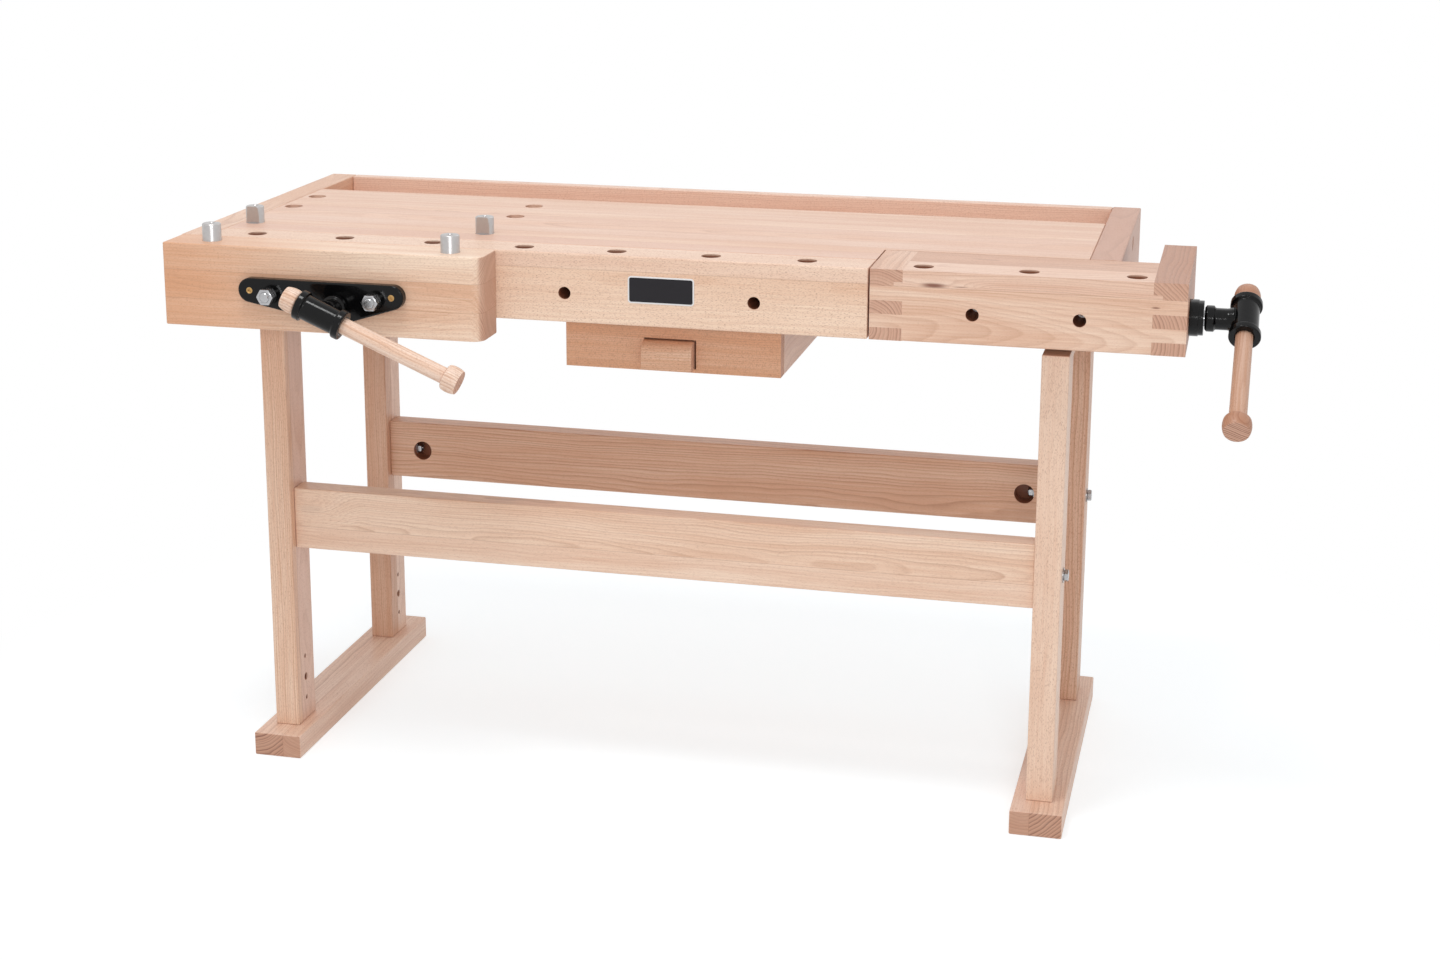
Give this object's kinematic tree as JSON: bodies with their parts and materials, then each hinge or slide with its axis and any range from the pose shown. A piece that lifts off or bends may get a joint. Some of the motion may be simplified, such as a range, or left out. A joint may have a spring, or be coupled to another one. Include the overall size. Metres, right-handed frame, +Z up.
{
  "type": "woodworking bench",
  "caption": "Wooden workbench with a front vise, a tail vise, round dog holes with dogs, a tool tray, a drawer and a base of two trestles joined by stretchers.",
  "frame": {"origin": "on the floor under the middle of the whole bench, vise handles included", "axes": "+X along the bench towards the tail vise, +Y from the front with the vise jaw to the back with the tool tray, +Z up"},
  "size_m": [1.7092, 0.8066, 0.928],
  "materials": {
    "beech": "oiled, satin",
    "board": "oiled plywood, satin",
    "handle_wood": "turned, satin",
    "black_casting": "gloss black paint",
    "bright_steel": "zinc plated, bright",
    "brass": "bright",
    "dog_metal": "turned, satin",
    "plate": "dark plate with a light rim, satin"
  },
  "bodies": {
    "bench": {"worktop_slab": "beech", "front_beam": "beech", "left_end_rail": "beech", "right_end_rail": "beech", "back_rail": "beech", "tray_board": "board", "end_rail_bolts": "bright_steel", "name_plate": "plate", "left_batten": "beech", "right_batten": "beech", "front_vise_carrier": "black_casting", "front_vise_nut": "brass", "tail_guide_rail": "beech", "tail_nut_bracket": "black_casting", "coach_screws": "bright_steel", "left_foot": "beech", "right_foot": "beech", "left_front_leg": "beech", "left_back_leg": "beech", "right_front_leg": "beech", "right_back_leg": "beech", "left_bearer": "beech", "right_bearer": "beech", "front_stretcher": "beech", "back_stretcher": "beech", "stretcher_bolts": "bright_steel", "bolt_washers": "bright_steel", "stretcher_nuts": "bright_steel", "dowels": "beech", "drawer_case_sides": "beech", "drawer_case_back": "beech", "drawer_runners": "beech"},
    "drawer": {"drawer_front": "beech", "drawer_pull": "beech", "drawer_sides": "beech", "drawer_back": "beech", "drawer_floor": "board"},
    "front_jaw": {"front_jaw": "beech", "front_vise_casting": "black_casting", "casting_screws": "brass", "guide_rods": "bright_steel", "guide_rod_nuts": "bright_steel"},
    "front_screw": {"front_vise_screw": "bright_steel", "front_vise_head": "black_casting"},
    "front_handle": {"front_handle_bar": "handle_wood", "front_handle_knobs": "handle_wood"},
    "tail_vise": {"tail_beam": "beech", "tail_cover": "beech", "tail_jaw_block": "beech", "tail_end_block": "beech", "tail_flange": "black_casting", "tail_guide_bar": "bright_steel"},
    "tail_screw": {"tail_vise_screw": "bright_steel", "tail_vise_head": "black_casting"},
    "tail_handle": {"tail_handle_bar": "handle_wood", "tail_handle_knobs": "handle_wood"},
    "jaw_dog_left": {"jaw_dog_left": "dog_metal"},
    "jaw_dog_right": {"jaw_dog_right": "dog_metal"},
    "top_dog_left": {"top_dog_left": "dog_metal"},
    "top_dog_right": {"top_dog_right": "dog_metal"}
  },
  "joints": [
    {"name": "drawer_slide", "type": "slide", "parent": "bench", "child": "drawer", "axis": [0, -1, 0], "range_m": [0, 0.33]},
    {"name": "front_jaw_slide", "type": "slide", "parent": "bench", "child": "front_jaw", "axis": [0, -1, 0], "range_m": [0, 0.1681]},
    {"name": "front_screw_turn", "type": "hinge", "parent": "front_jaw", "child": "front_screw", "pos_m": [-0.55235, -0.37925, 0.814], "axis": [0, -1, 0], "range_deg": [0, 10080]},
    {"name": "front_handle_slide", "type": "slide", "parent": "front_screw", "child": "front_handle", "axis": [-0.9205, 0, 0.3907], "range_m": [0, 0.175]},
    {"name": "tail_vise_slide", "type": "slide", "parent": "bench", "child": "tail_vise", "axis": [1, 0, 0], "range_m": [0, 0.1501]},
    {"name": "tail_screw_turn", "type": "hinge", "parent": "tail_vise", "child": "tail_screw", "pos_m": [0.83055, -0.13775, 0.83], "axis": [1, 0, 0], "range_deg": [0, 9000]},
    {"name": "tail_handle_slide", "type": "slide", "parent": "tail_screw", "child": "tail_handle", "axis": [0.0093, 0.8746, 0.4847], "range_m": [0, 0.175]},
    {"name": "jaw_dog_left_slide", "type": "slide", "parent": "front_jaw", "child": "jaw_dog_left", "axis": [0, 0, 1], "range_m": [-0.026, 0.03]},
    {"name": "jaw_dog_right_slide", "type": "slide", "parent": "front_jaw", "child": "jaw_dog_right", "axis": [0, 0, 1], "range_m": [-0.026, 0.03]},
    {"name": "top_dog_left_slide", "type": "slide", "parent": "bench", "child": "top_dog_left", "axis": [0, 0, 1], "range_m": [-0.026, 0.03]},
    {"name": "top_dog_right_slide", "type": "slide", "parent": "bench", "child": "top_dog_right", "axis": [0, 0, 1], "range_m": [-0.026, 0.03]}
  ],
  "couplings": [
    {"joint": "front_jaw_slide", "follows": "front_screw_turn", "m_per_rad": 0.00095493},
    {"joint": "tail_vise_slide", "follows": "tail_screw_turn", "m_per_rad": 0.00095493}
  ]
}
